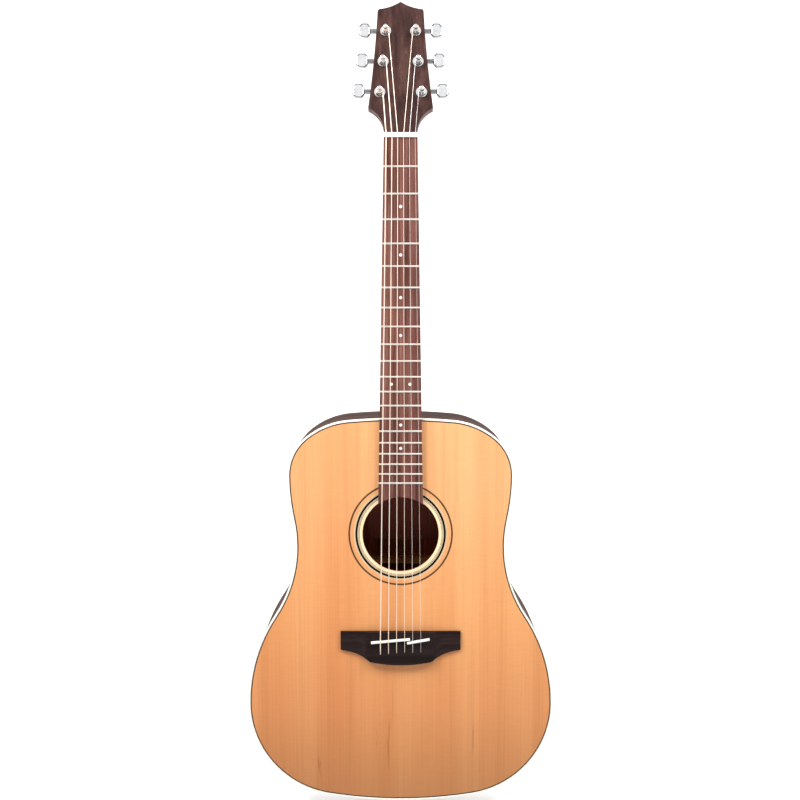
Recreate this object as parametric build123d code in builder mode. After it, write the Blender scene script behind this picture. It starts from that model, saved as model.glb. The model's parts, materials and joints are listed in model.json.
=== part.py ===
from build123d import *
import os
from math import cos, pi, radians, sin

# An acoustic steel-string guitar, standing upright, in millimetres. +Z runs from the tail to
# the head, -Y is the front and +X is the treble side. The origin lies under the middle of the
# guitar, level with the end of the strap button.

# ---- Driving dimensions ----

# Strings, from bass to treble
STRING_NAMES = ("low_e", "a", "d", "g", "b", "high_e")
STRING_GAUGES = (1.35, 1.07, 0.81, 0.61, 0.41, 0.30)
SCALE = 644.0
NUT_SPREAD = 36.4
SADDLE_SPREAD = 53.0
NUT_SEAT = 8.4  # height of the slots' floors above the soundboard
SADDLE_CREST = 12.0
SEAT_GAP = 0.1
BALL_RADIUS = 2.0
BALL_LENGTH = 3.6

# Body outline, as half widths and distances down from the nut
STRAP_BUTTON_LENGTH = 15.0
STRAP_FOOT_RADIUS = 6.5
STRAP_NECK_RADIUS = 4.2
STRAP_HEAD_RADIUS = 7.5
STRAP_HEAD_EDGE = 3.5
TAIL_AT = 871.0
BODY_JOIN_AT = 357.0
LOWER_HALF = 201.6
LOWER_AT = 738.0
LOWER_CORNER = 127.0
WAIST_HALF = 137.6
WAIST_AT = 525.4
WAIST_RADIUS = 169.0
UPPER_HALF = 147.5
UPPER_AT = 432.5
SHOULDER_RADIUS = 64.4
SHOULDER_TURN = radians(50.6)
COLLAR_RADIUS = 101.7

# Body shell
DEPTH_TAIL = 121.0
DEPTH_NECK = 98.0
TOP_THICK = 2.8
BACK_THICK = 2.8
SIDE_THICK = 2.2
BINDING_HEIGHT = 6.0
PURFLING_WIDTH = 1.7
PURFLING_DEPTH = 1.5
LINING_THICK = 5.8
LINING_HEIGHT = 14.0
BLOCK_WIDTH = 76.0
NECK_BLOCK_LENGTH = 48.0
TAIL_BLOCK_LENGTH = 20.0
BRACE_CLEAR = 0.4
SOUNDHOLE_AT = 509.5
SOUNDHOLE_RADIUS = 50.0
INLAY_DEPTH = 1.2
DARK_RINGS = ((53.8, 54.4), (55.2, 55.8), (56.4, 59.4), (60.0, 60.4), (66.2, 68.4))
LIGHT_RINGS = ((50.0, 53.8), (54.4, 55.2), (55.8, 56.4), (59.4, 60.0), (60.4, 61.0))
SCREW_RADIUS = 1.8  # the strap button's screw, through the tail

# Braces
X_CROSS_AT = 586.0
X_ANGLE = radians(49)
X_LEG = 230.0
BRACE_WIDTH = 7.0
BRACE_HEIGHT = 14.0
LAP_GAP = 0.05
TONE_BARS = (((-70, 700), (92, 806), 6.0, 11.0), ((-100, 742), (40, 832), 6.0, 10.0))
SIDE_BARS = (((96, 604), (175, 640), 5.0, 8.0), ((118, 650), (185, 690), 5.0, 8.0))
TRANSVERSE_AT = 438.0
TRANSVERSE_HALF = 145.0
TRANSVERSE_WIDTH = 11.0
TRANSVERSE_HEIGHT = 16.0
BRIDGE_PLATE_THICK = 2.4
BACK_BRACES = ((420.0, 8.0, 14.0), (566.0, 8.0, 14.0), (690.0, 18.0, 9.0), (800.0, 18.0, 9.0))
STRIP_WIDTH = 15.0
STRIP_THICK = 2.0
STRIP_GAP = 1.0
LABEL_THICK = 0.3
LABEL_WIDTH = 90.0
LABEL_TOP_AT = 462.0
LABEL_END_AT = 540.0

# Neck, fretboard and head
FRET_COUNT = 20
BOARD_THICK = 6.8
BOARD_NUT_WIDTH = 43.0
BOARD_TAPER = 11.5 / 357.0
FRET_WIDTH = 2.4
FRET_HEIGHT = 1.1
TANG_WIDTH = 0.6
TANG_DEPTH = 2.0
BOARD_END_AT = 468.6  # where the board's edges meet the rim of the soundhole
DOT_FRETS = (3, 5, 7, 9, 12, 15, 17)
DOT_DEPTH = 1.2
DOT_RADIUS = 2.0
SIDE_DOT_RADIUS = 1.0
DOUBLE_DOT_OFFSET = 12.0
NUT_THICK = 6.0
NUT_HEIGHT = 9.2
NECK_DEPTH_NUT = 14.5
NECK_DEPTH_JOIN = 17.0
HEEL_SECTIONS = ((3.0, 50.0, 78.0), (24.0, 43.0, 36.0), (54.0, 33.0, 23.0), (91.0, 26.0, 17.0))
HEEL_CAP_THICK = 2.5
HEAD_TILT = radians(14)
HEAD_THICK = 12.0
VENEER_THICK = 2.0
HEAD_SHOULDER = (41.3, 33.8)
HEAD_CORNER = (29.6, 167.6)
HEAD_CORNER_RADIUS = 3.5
HEAD_PEAK = 178.0
ROD_RADIUS = 2.5
ROD_DEPTH = 9.0
ROD_TOP_AT = 24.0
ROD_END_AT = 424.0
ROD_NUT_RADIUS = 4.2
ROD_NUT_LENGTH = 18.0
KEY_SOCKET_RADIUS = 2.5
KEY_SOCKET_DEPTH = 5.0
KEY_HOLE_RADIUS = 3.6

# Bridge
BRIDGE_AT = 639.2
BRIDGE_HALF = 79.0
BRIDGE_WING_AT = 664.0
BRIDGE_END_AT = 683.2
BRIDGE_BLOCK_HALF = 43.0
WING_FLAT_FROM = 62.0
BRIDGE_HEIGHT = 8.2
WING_HEIGHT = 3.4
SADDLE_THICK = 3.0
SADDLE_SLOT_DEPTH = 4.5
SADDLES = {
    "saddle_bass": ((-38.7, 652.5), (12.2, 647.9)),
    "saddle_treble": ((8.6, 653.1), (38.0, 647.9)),
}
BALL_AT = 679.0
BALL_HEIGHT = 3.9

# Tuners: side, distance out from the centre line and distance up the head of each post
TUNER_PLACES = ((-1, 26.6, 54.2), (-1, 22.4, 95.8), (-1, 19.2, 137.4))
TUNER_PLACES += ((1, 19.2, 137.4), (1, 22.4, 95.8), (1, 26.6, 54.2))
POST_RADIUS = 3.0
POST_RISE = 14.0
STRING_HOLE_RISE = 9.0
STRING_HOLE_RADIUS = 0.9
WINDING_RISE = 6.5
BUSHING_RADIUS = 5.0
WASHER_RADIUS = 7.0
WASHER_THICK = 0.8
HEX_FLATS = 10.0
HEX_HEIGHT = 2.2
RUNNING_FIT = 0.05
PIVOT_RADIUS = 2.0  # the thin inner ends of the post and of the worm
PIVOT_DEPTH = 11.4
EAR_OFFSET = -12.0
EAR_HALF = 4.0
EAR_THICK = 2.4
EAR_SCREW_RADIUS = 1.2
EAR_SCREW_HEAD = 2.4
EAR_SCREW_HEIGHT = 1.4
EAR_SCREW_DEPTH = 8.5
WORM_OFFSET = 10.0
WORM_DEPTH = 7.0
WORM_RADIUS = 3.5
WORM_ROOT = 2.5
WORM_LENGTH = 11.0
GEAR_TEETH = 14
GEAR_RADIUS = 6.3
GEAR_ROOT = 5.2
GEAR_THICK = 5.0
THREAD_THICK = 1.4
TOOTH_THICK = 1.3
HOUSING_WIDTH = 18.0
HOUSING_LENGTH = 26.0
HOUSING_DEPTH = 12.6
HOUSING_MIDDLE = 4.0
POCKET_DEPTH = 10.0
SHAFT_RADIUS = 3.2
SLEEVE_RADIUS = 4.6
SLEEVE_END = 12.0
BUTTON_START = 19.8
BUTTON_LENGTH = 16.6
BUTTON_WIDTH = 20.7
BUTTON_THICK = 8.4
BUTTON_SHOULDER = 3.6
BUTTON_NECK_WIDTH = 11.0
BUTTON_ROUND_FROM = BUTTON_START + BUTTON_LENGTH - 5.2
BUTTON_CORNER_RADIUS = 3.0
BUTTON_EDGE_RADIUS = 2.4
STEM_SIDE = 3.4  # the square end of the worm shaft inside the button

# ---- Places worked out from them ----

NUT_Z = STRAP_BUTTON_LENGTH + TAIL_AT
BODY_BOTTOM = STRAP_BUTTON_LENGTH
BODY_TOP = NUT_Z - BODY_JOIN_AT
FRONT = SADDLE_CREST + STRING_GAUGES[0]  # the strings stand this far in front of the soundboard
Y_TOP = (FRONT - DEPTH_TAIL) / 2
MID_DEPTH = 60.0
PAST = 40.0  # how far a cutting tool reaches past the work


def drop(distance):
    """Height of a point that lies the given distance below the nut."""
    return NUT_Z - distance


def facing(depth):
    """Plane parallel to the soundboard, the given depth behind its front face."""
    return Plane.XZ.offset(-(Y_TOP + depth))


BACK_SLOPE = Vector(0, DEPTH_NECK - DEPTH_TAIL, BODY_TOP - BODY_BOTTOM).normalized()
BACK = Plane(
    origin=(0, Y_TOP + DEPTH_TAIL, BODY_BOTTOM),
    x_dir=(1, 0, 0),
    z_dir=Vector(1, 0, 0).cross(-BACK_SLOPE),
)
HEAD = Plane(
    origin=(0, Y_TOP, NUT_Z + NUT_THICK),
    x_dir=(1, 0, 0),
    z_dir=(0, -cos(HEAD_TILT), sin(HEAD_TILT)),
)
HEAD_BACK = HEAD.offset(-HEAD_THICK)
HEAD_FRONT = HEAD.offset(VENEER_THICK)

LOWER_CENTRE = Vector(LOWER_HALF - LOWER_CORNER, drop(LOWER_AT))
TAIL_RISE = LOWER_CENTRE.Y - BODY_BOTTOM
TAIL_RADIUS = (LOWER_CENTRE.X**2 + TAIL_RISE**2 - LOWER_CORNER**2) / (
    2 * (TAIL_RISE - LOWER_CORNER)
)
TAIL_CENTRE = Vector(0, BODY_BOTTOM + TAIL_RADIUS)
WAIST_CENTRE = Vector(WAIST_HALF + WAIST_RADIUS, drop(WAIST_AT))


def flank_radius(half_width, level):
    """Radius of the flank that leaves a bout's widest point and meets the waist smoothly."""
    across = WAIST_CENTRE.X - half_width
    along = WAIST_CENTRE.Y - level
    return (across**2 + along**2 - WAIST_RADIUS**2) / (2 * (WAIST_RADIUS - across))


LOWER_FLANK = flank_radius(LOWER_HALF, drop(LOWER_AT))
LOWER_FLANK_CENTRE = Vector(LOWER_HALF - LOWER_FLANK, drop(LOWER_AT))
UPPER_FLANK = flank_radius(UPPER_HALF, drop(UPPER_AT))
UPPER_FLANK_CENTRE = Vector(UPPER_HALF - UPPER_FLANK, drop(UPPER_AT))
SHOULDER_OUT = Vector(cos(SHOULDER_TURN), sin(SHOULDER_TURN))
SHOULDER_CENTRE = Vector(UPPER_HALF - SHOULDER_RADIUS, drop(UPPER_AT))
COLLAR_CENTRE = SHOULDER_CENTRE + SHOULDER_OUT * (SHOULDER_RADIUS - COLLAR_RADIUS)
COLLAR_DROP = BODY_TOP - COLLAR_CENTRE.Y
NECK_END_RADIUS = (COLLAR_CENTRE.X**2 + COLLAR_DROP**2 - COLLAR_RADIUS**2) / (
    2 * (COLLAR_DROP - COLLAR_RADIUS)
)
NECK_END_CENTRE = Vector(0, BODY_TOP - NECK_END_RADIUS)


def arc_about(centre, start, end):
    """Arc about a centre from start to end, the short way round."""
    middle = ((start + end) * 0.5 - centre).normalized() * (start - centre).length
    ThreePointArc(start, centre + middle, end)


def towards(centre, target, distance):
    """Point at a distance from centre in the direction of target."""
    return centre + (target - centre).normalized() * distance


def body_outline(inset=0.0):
    """Face inside the body's outline shrunk by inset, for a sketch parallel to the soundboard."""
    tail = Vector(0, BODY_BOTTOM + inset)
    low_corner = towards(
        LOWER_CENTRE, LOWER_CENTRE * 2 - TAIL_CENTRE, LOWER_CORNER - inset
    )
    low_side = Vector(LOWER_HALF - inset, drop(LOWER_AT))
    low_waist = towards(LOWER_FLANK_CENTRE, WAIST_CENTRE, LOWER_FLANK - inset)
    high_waist = towards(UPPER_FLANK_CENTRE, WAIST_CENTRE, UPPER_FLANK - inset)
    high_side = Vector(UPPER_HALF - inset, drop(UPPER_AT))
    shoulder = SHOULDER_CENTRE + SHOULDER_OUT * (SHOULDER_RADIUS - inset)
    collar = towards(
        COLLAR_CENTRE, COLLAR_CENTRE * 2 - NECK_END_CENTRE, COLLAR_RADIUS - inset
    )
    neck_end = Vector(0, BODY_TOP - inset)
    with BuildSketch() as outline:
        with BuildLine():
            arc_about(TAIL_CENTRE, tail, low_corner)
            arc_about(LOWER_CENTRE, low_corner, low_side)
            arc_about(LOWER_FLANK_CENTRE, low_side, low_waist)
            arc_about(WAIST_CENTRE, low_waist, high_waist)
            arc_about(UPPER_FLANK_CENTRE, high_waist, high_side)
            arc_about(SHOULDER_CENTRE, high_side, shoulder)
            arc_about(COLLAR_CENTRE, shoulder, collar)
            arc_about(NECK_END_CENTRE, collar, neck_end)
            mirror(about=Plane.YZ)
        make_face()
    return outline.sketch


def body_prism(inset=0.0, front=-1.0):
    """Everything within the outline shrunk by inset, from a depth in front to past the back."""
    with BuildPart() as prism:
        with BuildSketch(facing(DEPTH_TAIL + PAST)):
            add(body_outline(inset))
        extrude(amount=DEPTH_TAIL + PAST - front)
    return prism.part


def shell_ring(outer, inner, front, back):
    """Band that follows the outline between two insets, from one depth to another."""
    with BuildPart() as ring:
        with BuildSketch(facing(back)):
            add(body_outline(outer))
            add(body_outline(inner), mode=Mode.SUBTRACT)
        extrude(amount=back - front)
    return ring.part


def trim_at_back(inset):
    """Cut away what lies behind the back's outer face moved in by inset."""
    split(bisect_by=BACK.offset(-inset), keep=Keep.BOTTOM)


def trim_before_back(inset):
    """Cut away what lies in front of the back's outer face moved in by inset."""
    split(bisect_by=BACK.offset(-inset), keep=Keep.TOP)


def rod_bar(radius, start_at, end_at):
    """Round bar on the truss rod's axis between two distances from the nut."""
    with BuildPart() as bar:
        with BuildSketch(Plane.XY.offset(drop(end_at))):
            with Locations((0, Y_TOP + ROD_DEPTH)):
                Circle(radius)
        extrude(amount=end_at - start_at)
    return bar.part


def dovetail():
    """The neck's dovetail, which widens into the neck block behind the side."""
    root = BODY_TOP + 4
    tip = BODY_TOP - 20
    with BuildPart() as tail:
        with BuildSketch(facing(72)):
            with BuildLine():
                Polyline((-9, root), (9, root), (14, tip), (-14, tip), close=True)
            make_face()
        extrude(amount=72 - 14)
    return tail.part


def finish(part, name):
    """Label a piece and write it."""
    part.label = name
    export_step(part, f"parts/{name}.step")


os.makedirs("parts", exist_ok=True)

# ---- Body shell ----

with BuildPart() as soundboard:
    with BuildSketch(facing(TOP_THICK)):
        add(body_outline(SIDE_THICK))
        with Locations((0, drop(SOUNDHOLE_AT))):
            Circle(SOUNDHOLE_RADIUS, mode=Mode.SUBTRACT)
    extrude(amount=TOP_THICK)
    add(shell_ring(SIDE_THICK, SIDE_THICK + PURFLING_WIDTH, 0, PURFLING_DEPTH), mode=Mode.SUBTRACT)
    with BuildSketch(facing(INLAY_DEPTH)):
        with Locations((0, drop(SOUNDHOLE_AT))):
            Circle(DARK_RINGS[-1][1])
            Circle(DARK_RINGS[-1][0], mode=Mode.SUBTRACT)
            Circle(LIGHT_RINGS[-1][1])
            Circle(SOUNDHOLE_RADIUS, mode=Mode.SUBTRACT)
    extrude(amount=INLAY_DEPTH, mode=Mode.SUBTRACT)
finish(soundboard.part, "soundboard")

with BuildPart() as purfling:
    add(shell_ring(SIDE_THICK, SIDE_THICK + PURFLING_WIDTH, 0, PURFLING_DEPTH))
finish(purfling.part, "purfling")

with BuildPart() as top_binding:
    add(shell_ring(0, SIDE_THICK, 0, BINDING_HEIGHT))
finish(top_binding.part, "top_binding")

for rosette_name, rings in (
    ("rosette_dark_rings", DARK_RINGS),
    ("rosette_light_rings", LIGHT_RINGS),
):
    with BuildPart() as rosette:
        for ring_inner, ring_outer in rings:
            with BuildSketch(facing(INLAY_DEPTH)):
                with Locations((0, drop(SOUNDHOLE_AT))):
                    Circle(ring_outer)
                    Circle(ring_inner, mode=Mode.SUBTRACT)
            extrude(amount=INLAY_DEPTH)
    finish(rosette.part, rosette_name)

for side_name, side_keep in (("side_bass", Keep.BOTTOM), ("side_treble", Keep.TOP)):
    with BuildPart() as side_panel:
        add(shell_ring(0, SIDE_THICK, BINDING_HEIGHT, DEPTH_TAIL + PAST))
        trim_at_back(BINDING_HEIGHT)
        add(dovetail(), mode=Mode.SUBTRACT)
        add(rod_bar(ROD_RADIUS, BODY_JOIN_AT - 9, BODY_JOIN_AT + 9), mode=Mode.SUBTRACT)
        with BuildSketch(Plane.XY):
            with Locations((0, Y_TOP + MID_DEPTH)):
                Circle(SCREW_RADIUS)
        extrude(amount=BODY_BOTTOM + PAST, mode=Mode.SUBTRACT)
        split(bisect_by=Plane.YZ, keep=side_keep)
    finish(side_panel.part, side_name)

with BuildPart() as back_plate:
    add(body_prism(SIDE_THICK, DEPTH_NECK - PAST))
    trim_at_back(0)
    trim_before_back(BACK_THICK)
finish(back_plate.part, "back_plate")

with BuildPart() as back_binding:
    add(shell_ring(0, SIDE_THICK, DEPTH_NECK - PAST, DEPTH_TAIL + PAST))
    trim_at_back(0)
    trim_before_back(BINDING_HEIGHT)
finish(back_binding.part, "back_binding")

# ---- Blocks, linings and braces ----

with BuildPart() as neck_block:
    with BuildSketch(facing(DEPTH_TAIL)):
        with Locations((0, BODY_TOP)):
            Rectangle(BLOCK_WIDTH, 2 * NECK_BLOCK_LENGTH)
    extrude(amount=DEPTH_TAIL - TOP_THICK)
    add(body_prism(SIDE_THICK), mode=Mode.INTERSECT)
    trim_at_back(BACK_THICK)
    add(dovetail(), mode=Mode.SUBTRACT)
    add(rod_bar(ROD_RADIUS, BODY_JOIN_AT - 9, ROD_END_AT), mode=Mode.SUBTRACT)
finish(neck_block.part, "neck_block")

with BuildPart() as tail_block:
    with BuildSketch(facing(DEPTH_TAIL)):
        with Locations((0, BODY_BOTTOM)):
            Rectangle(BLOCK_WIDTH, 2 * (TAIL_BLOCK_LENGTH + SIDE_THICK))
    extrude(amount=DEPTH_TAIL - TOP_THICK)
    add(body_prism(SIDE_THICK), mode=Mode.INTERSECT)
    trim_at_back(BACK_THICK)
    with BuildSketch(Plane.XY):
        with Locations((0, Y_TOP + MID_DEPTH)):
            Circle(SCREW_RADIUS)
    extrude(amount=BODY_BOTTOM + 19, mode=Mode.SUBTRACT)
finish(tail_block.part, "tail_block")

LINING_INNER = SIDE_THICK + LINING_THICK
with BuildPart() as linings:
    add(shell_ring(SIDE_THICK, LINING_INNER, DEPTH_NECK - PAST, DEPTH_TAIL + PAST))
    trim_at_back(BACK_THICK)
    trim_before_back(BACK_THICK + LINING_HEIGHT)
    add(shell_ring(SIDE_THICK, LINING_INNER, TOP_THICK, TOP_THICK + LINING_HEIGHT))
    with BuildSketch(facing(DEPTH_TAIL + PAST)):
        with Locations((0, BODY_TOP), (0, BODY_BOTTOM)):
            Rectangle(BLOCK_WIDTH, 2 * TAIL_BLOCK_LENGTH)
    extrude(amount=DEPTH_TAIL + 2 * PAST, mode=Mode.SUBTRACT)
finish(linings.part, "linings")


def brace_profile(length, height, end_height):
    """Side view of a brace: flat against the plate, arched on its free edge."""
    half = length / 2
    with BuildSketch() as profile:
        with BuildLine():
            Polyline((-half, end_height), (-half, 0), (half, 0), (half, end_height))
            ThreePointArc((half, end_height), (0, height), (-half, end_height))
        make_face()
    return profile.sketch


def top_brace(start, end, width, height):
    """Brace under the soundboard between two points, each given as x and distance from the nut."""
    first = Vector(start[0], 0, drop(start[1]))
    last = Vector(end[0], 0, drop(end[1]))
    along = (last - first).normalized()
    middle = (first + last) * 0.5
    side_on = Plane(
        origin=(middle.X, Y_TOP + TOP_THICK, middle.Z),
        x_dir=along,
        z_dir=along.cross(Vector(0, 1, 0)),
    )
    with BuildPart() as bar:
        with BuildSketch(side_on):
            add(brace_profile((last - first).length, height, height * 0.35))
        extrude(amount=width / 2, both=True)
    return bar.part


def x_leg(hand, notch_from):
    """One leg of the crossed braces, half lapped where the other leg crosses it."""
    along = Vector(hand * sin(X_ANGLE), cos(X_ANGLE)) * X_LEG
    crossing = (-hand * sin(X_ANGLE), 0, -cos(X_ANGLE))
    lap = Plane(
        origin=(0, Y_TOP + TOP_THICK + notch_from, drop(X_CROSS_AT)),
        x_dir=crossing,
        z_dir=(0, 1, 0),
    )
    with BuildPart() as leg:
        add(
            top_brace(
                (-along.X, X_CROSS_AT - along.Y),
                (along.X, X_CROSS_AT + along.Y),
                BRACE_WIDTH,
                BRACE_HEIGHT,
            )
        )
        with BuildSketch(lap):
            Rectangle(3 * BRACE_WIDTH, BRACE_WIDTH + 2 * LAP_GAP)
        extrude(amount=BRACE_HEIGHT / 2 + 1.0 + LAP_GAP, mode=Mode.SUBTRACT)
    return leg.part


# Braces end just short of the linings.
BRACE_SPACE = body_prism(LINING_INNER + BRACE_CLEAR)

with BuildPart() as x_braces:
    add(x_leg(1, -1.0))
    add(x_leg(-1, BRACE_HEIGHT / 2))
    add(BRACE_SPACE, mode=Mode.INTERSECT)
finish(x_braces.part, "x_braces")

with BuildPart() as tone_bars:
    for bar_start, bar_end, bar_width, bar_height in TONE_BARS:
        add(top_brace(bar_start, bar_end, bar_width, bar_height))
    for hand in (-1, 1):
        for (inner_x, inner_at), (outer_x, outer_at), bar_width, bar_height in SIDE_BARS:
            ends = (hand * inner_x, inner_at), (hand * outer_x, outer_at)
            add(top_brace(*ends, bar_width, bar_height))
    add(BRACE_SPACE, mode=Mode.INTERSECT)
finish(tone_bars.part, "tone_bars")

with BuildPart() as transverse_brace:
    add(
        top_brace(
            (-TRANSVERSE_HALF, TRANSVERSE_AT),
            (TRANSVERSE_HALF, TRANSVERSE_AT),
            TRANSVERSE_WIDTH,
            TRANSVERSE_HEIGHT,
        )
    )
    add(BRACE_SPACE, mode=Mode.INTERSECT)
    add(
        rod_bar(KEY_HOLE_RADIUS, TRANSVERSE_AT - TRANSVERSE_WIDTH, TRANSVERSE_AT + TRANSVERSE_WIDTH),
        mode=Mode.SUBTRACT,
    )
finish(transverse_brace.part, "transverse_brace")

with BuildPart() as bridge_plate:
    with BuildSketch(facing(TOP_THICK + BRIDGE_PLATE_THICK)):
        with BuildLine():
            Polyline(
                (-50, drop(637)),
                (50, drop(637)),
                (88, drop(672)),
                (76, drop(690)),
                (-76, drop(690)),
                (-88, drop(672)),
                close=True,
            )
        make_face()
    extrude(amount=BRIDGE_PLATE_THICK)
finish(bridge_plate.part, "bridge_plate")


def on_back(distance):
    """Point on the inside of the back, the given distance below the nut."""
    height = drop(distance)
    slope = (DEPTH_NECK - DEPTH_TAIL) / (BODY_TOP - BODY_BOTTOM)
    thick = BACK_THICK / BACK.z_dir.Y
    return Vector(0, Y_TOP + DEPTH_TAIL + slope * (height - BODY_BOTTOM) - thick, height)


with BuildPart() as back_braces:
    for distance, width, height in BACK_BRACES:
        across = Plane(origin=on_back(distance), x_dir=(1, 0, 0), z_dir=-BACK_SLOPE)
        with BuildSketch(across):
            add(brace_profile(2 * LOWER_HALF, height, height * 0.4))
        extrude(amount=width / 2, both=True)
    add(BRACE_SPACE, mode=Mode.INTERSECT)
finish(back_braces.part, "back_braces")

# The strip is broken by the braces and by the label.
STOPS = [(distance - width / 2, distance + width / 2) for distance, width, height in BACK_BRACES]
STOPS.insert(1, (LABEL_TOP_AT, LABEL_END_AT))
STRIP_STARTS = [BODY_JOIN_AT + NECK_BLOCK_LENGTH] + [stop_end for stop_start, stop_end in STOPS]
STRIP_ENDS = [stop_start for stop_start, stop_end in STOPS]
STRIP_ENDS.append(TAIL_AT - SIDE_THICK - TAIL_BLOCK_LENGTH)
with BuildPart() as back_strip:
    for strip_top, strip_end in zip(STRIP_STARTS, STRIP_ENDS):
        strip_plane = Plane(
            origin=on_back((strip_top + strip_end) / 2), x_dir=(1, 0, 0), z_dir=-BACK.z_dir
        )
        with BuildSketch(strip_plane):
            Rectangle(STRIP_WIDTH, strip_end - strip_top - 2 * STRIP_GAP)
        extrude(amount=STRIP_THICK)
finish(back_strip.part, "back_strip")

with BuildPart() as label:
    label_plane = Plane(
        origin=on_back((LABEL_TOP_AT + LABEL_END_AT) / 2), x_dir=(1, 0, 0), z_dir=-BACK.z_dir
    )
    with BuildSketch(label_plane):
        Rectangle(LABEL_WIDTH, LABEL_END_AT - LABEL_TOP_AT - 3 * STRIP_GAP)
    extrude(amount=LABEL_THICK)
finish(label.part, "label")

# ---- Neck and head ----


def is_head_corner(vertex):
    """True for the two corners at the far end of the head."""
    return abs(vertex.Y - HEAD_CORNER[1]) < 0.1


def head_outline():
    """Face of the head in its own plane, with the nut's edge along the bottom."""
    with BuildSketch() as outline:
        with BuildLine():
            Line((0, 0), (BOARD_NUT_WIDTH / 2, 0))
            ThreePointArc((BOARD_NUT_WIDTH / 2, 0), (26.6, 20.6), HEAD_SHOULDER)
            ThreePointArc(HEAD_SHOULDER, (36.1, 79.0), HEAD_CORNER)
            ThreePointArc(HEAD_CORNER, (13.0, 171.2), (0, HEAD_PEAK))
            mirror(about=Plane.YZ)
        make_face()
        fillet(vertices().filter_by(is_head_corner), radius=HEAD_CORNER_RADIUS)
    return outline.sketch


def at_posts(along=0.0):
    """Places level with every tuner post in the head's plane, shifted up the head."""
    return [(side * place, up + along) for side, place, up in TUNER_PLACES]


def shaft_section(width, depth):
    """Rounded back of the neck, flat along the fretboard."""
    with BuildSketch() as section:
        with Locations((0, Y_TOP)):
            Ellipse(width / 2, depth)
        with Locations((0, Y_TOP - depth)):
            Rectangle(2 * width, 2 * depth, mode=Mode.SUBTRACT)
    return section.sketch


with BuildPart() as neck:
    with BuildSketch(Plane.XY.offset(BODY_TOP - 5)):
        add(shaft_section(BOARD_NUT_WIDTH + BOARD_TAPER * (BODY_JOIN_AT + 5), NECK_DEPTH_JOIN))
    with BuildSketch(Plane.XY.offset(NUT_Z + NUT_THICK)):
        add(shaft_section(BOARD_NUT_WIDTH, NECK_DEPTH_NUT))
    loft()
    for heel_depth, heel_width, heel_reach in HEEL_SECTIONS:
        with BuildSketch(facing(heel_depth)):
            with Locations((0, BODY_TOP)):
                Ellipse(heel_width / 2, heel_reach)
    loft()
    add(body_prism(), mode=Mode.SUBTRACT)
    add(dovetail())
    with BuildSketch(HEAD):
        add(head_outline())
    extrude(amount=-HEAD_THICK)
    with BuildSketch(Plane.XY.offset(NUT_Z + NUT_THICK - 0.5)):
        add(shaft_section(BOARD_NUT_WIDTH, NECK_DEPTH_NUT))
    with BuildSketch(Plane.XY.offset(NUT_Z + NUT_THICK + 44)):
        with Locations((0, Y_TOP + 14)):
            Ellipse(13, 9)
        with Locations((0, Y_TOP + 4)):
            Rectangle(60, 20, mode=Mode.SUBTRACT)
    loft()
    with BuildSketch(HEAD):
        with Locations(*at_posts()):
            Circle(BUSHING_RADIUS)
    extrude(amount=-HEAD_THICK - 1, mode=Mode.SUBTRACT)
    with BuildSketch(HEAD_BACK):
        with Locations(*at_posts(along=EAR_OFFSET)):
            Circle(EAR_SCREW_RADIUS)
    extrude(amount=EAR_SCREW_DEPTH + 0.5, mode=Mode.SUBTRACT)
    add(rod_bar(ROD_RADIUS, ROD_TOP_AT, ROD_END_AT), mode=Mode.SUBTRACT)
finish(neck.part, "neck")

with BuildPart() as heel_cap:
    cap_depth, cap_width, cap_reach = HEEL_SECTIONS[-1]
    with BuildSketch(facing(cap_depth + HEEL_CAP_THICK)):
        with Locations((0, BODY_TOP)):
            Ellipse(cap_width / 2, cap_reach)
    extrude(amount=HEEL_CAP_THICK)
    add(body_prism(), mode=Mode.SUBTRACT)
finish(heel_cap.part, "heel_cap")

with BuildPart() as head_veneer:
    with BuildSketch(HEAD):
        add(head_outline())
        with Locations(*at_posts()):
            Circle(BUSHING_RADIUS, mode=Mode.SUBTRACT)
    extrude(amount=VENEER_THICK)
finish(head_veneer.part, "head_veneer")

with BuildPart() as truss_rod:
    add(rod_bar(ROD_RADIUS, ROD_TOP_AT, ROD_END_AT - 2))
finish(truss_rod.part, "truss_rod")

ROD_NUT_AT = ROD_END_AT + 4
with BuildPart() as truss_rod_nut:
    add(rod_bar(ROD_NUT_RADIUS, ROD_NUT_AT - ROD_NUT_LENGTH, ROD_NUT_AT))
    chamfer(truss_rod_nut.edges().filter_by(GeomType.CIRCLE), length=0.5)
    with BuildSketch(Plane.XY.offset(drop(ROD_NUT_AT))):
        with Locations((0, Y_TOP + ROD_DEPTH)):
            RegularPolygon(KEY_SOCKET_RADIUS, 6)
    extrude(amount=KEY_SOCKET_DEPTH, mode=Mode.SUBTRACT)
    add(rod_bar(ROD_RADIUS + RUNNING_FIT, ROD_END_AT - PAST, ROD_END_AT), mode=Mode.SUBTRACT)
finish(truss_rod_nut.part, "truss_rod_nut")

# ---- Fretboard ----


def fret_at(number):
    """Distance from the nut to a fret."""
    return SCALE * (1 - 2 ** (-number / 12))


def board_width(distance):
    """Width of the fretboard at a distance from the nut."""
    return BOARD_NUT_WIDTH + BOARD_TAPER * distance


def dot_places():
    """Centres of the face dots, each midway between two frets."""
    places = []
    for number in DOT_FRETS:
        middle = drop((fret_at(number - 1) + fret_at(number)) / 2)
        offsets = (-DOUBLE_DOT_OFFSET, DOUBLE_DOT_OFFSET) if number == 12 else (0,)
        places += [(offset, middle) for offset in offsets]
    return places


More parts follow.
